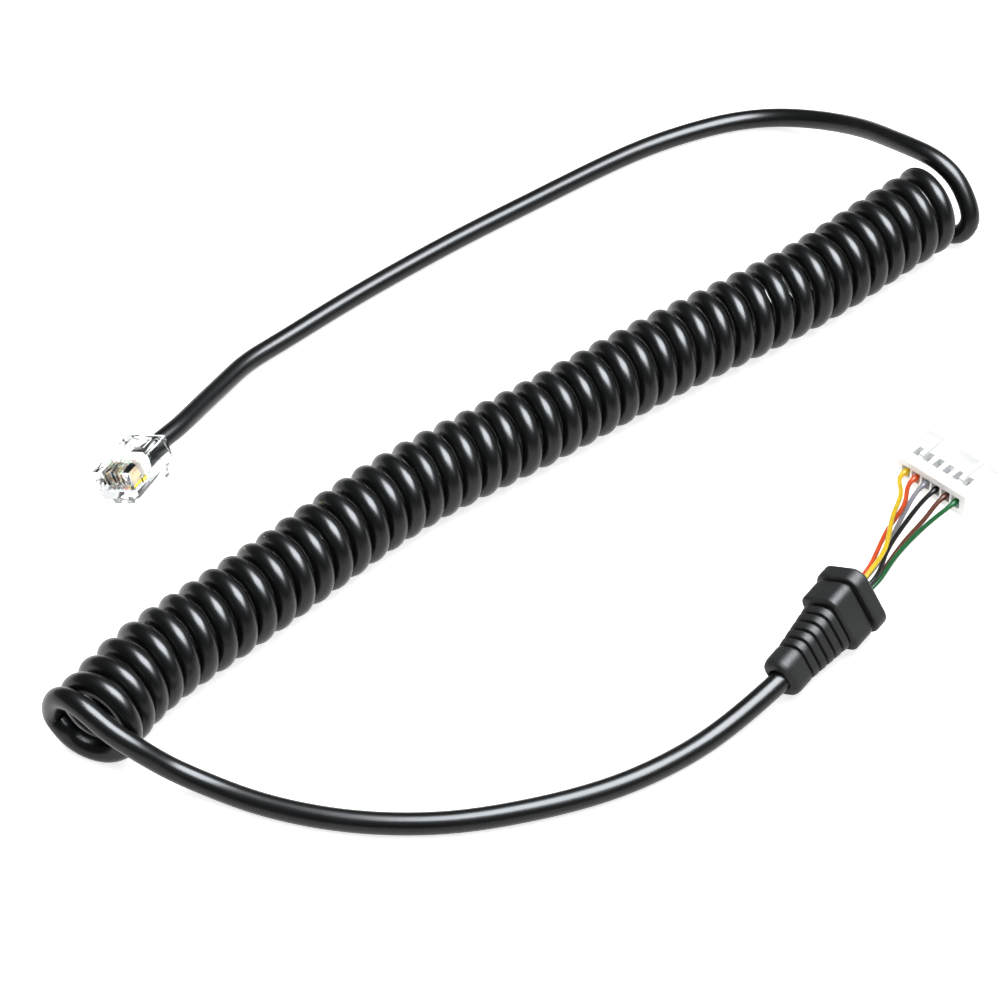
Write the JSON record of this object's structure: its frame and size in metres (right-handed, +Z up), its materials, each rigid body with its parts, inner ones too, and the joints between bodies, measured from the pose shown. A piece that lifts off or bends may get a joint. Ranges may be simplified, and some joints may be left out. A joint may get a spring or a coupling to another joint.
{
  "type": "coiled microphone cord",
  "caption": "Coiled cord for a hand microphone: clear modular plug with latch, retractile coil, ribbed strain relief, and coloured fly leads to a crimp housing.",
  "frame": {"origin": "centre of the whole part's outline on the surface it lies on", "axes": "+X along the coil, from the strain relief's end to the end that the plug's tail leaves; +Y across the coil towards the plug; +Z up from the surface"},
  "size_m": [0.2323, 0.1426, 0.018],
  "materials": {
    "jacket": "glossy black flexible cord jacket",
    "relief": "matt charcoal moulded strain relief",
    "housing_nylon": "natural white nylon, faintly glossy",
    "terminal_tin": "tin-plated spring metal",
    "contact_gold": "gold-plated contact",
    "plug_clear": "clear moulded polycarbonate",
    "insulation_yellow": "yellow wire insulation",
    "insulation_orange": "orange wire insulation",
    "insulation_grey": "grey wire insulation",
    "insulation_black": "black wire insulation",
    "insulation_brown": "brown wire insulation",
    "insulation_green": "green wire insulation"
  },
  "bodies": {
    "root": {"coil": "jacket", "mic_tail": "jacket", "plug_tail": "jacket", "strain_relief": "relief", "connector_housing": "housing_nylon", "crimp_terminal_1": "terminal_tin", "crimp_terminal_2": "terminal_tin", "crimp_terminal_3": "terminal_tin", "crimp_terminal_4": "terminal_tin", "crimp_terminal_5": "terminal_tin", "crimp_terminal_6": "terminal_tin", "lead_yellow": "insulation_yellow", "lead_orange": "insulation_orange", "lead_grey": "insulation_grey", "lead_black": "insulation_black", "lead_brown": "insulation_brown", "lead_green": "insulation_green", "plug_body": "plug_clear", "plug_contact_1": "contact_gold", "plug_wire_green": "insulation_green", "plug_contact_2": "contact_gold", "plug_wire_brown": "insulation_brown", "plug_contact_3": "contact_gold", "plug_wire_black": "insulation_black", "plug_contact_4": "contact_gold", "plug_wire_grey": "insulation_grey", "plug_contact_5": "contact_gold", "plug_wire_orange": "insulation_orange", "plug_contact_6": "contact_gold", "plug_wire_yellow": "insulation_yellow"},
    "latch": {"plug_latch": "plug_clear"}
  },
  "joints": [
    {"name": "plug_latch_hinge", "type": "hinge", "parent": "root", "child": "latch", "pos_m": [-0.06628, 0.05121, 0.0035], "axis": [0.3172, -0.8491, 0.4224], "range_deg": [0, 8], "stiffness_Nm_per_rad": 0.4}
  ]
}
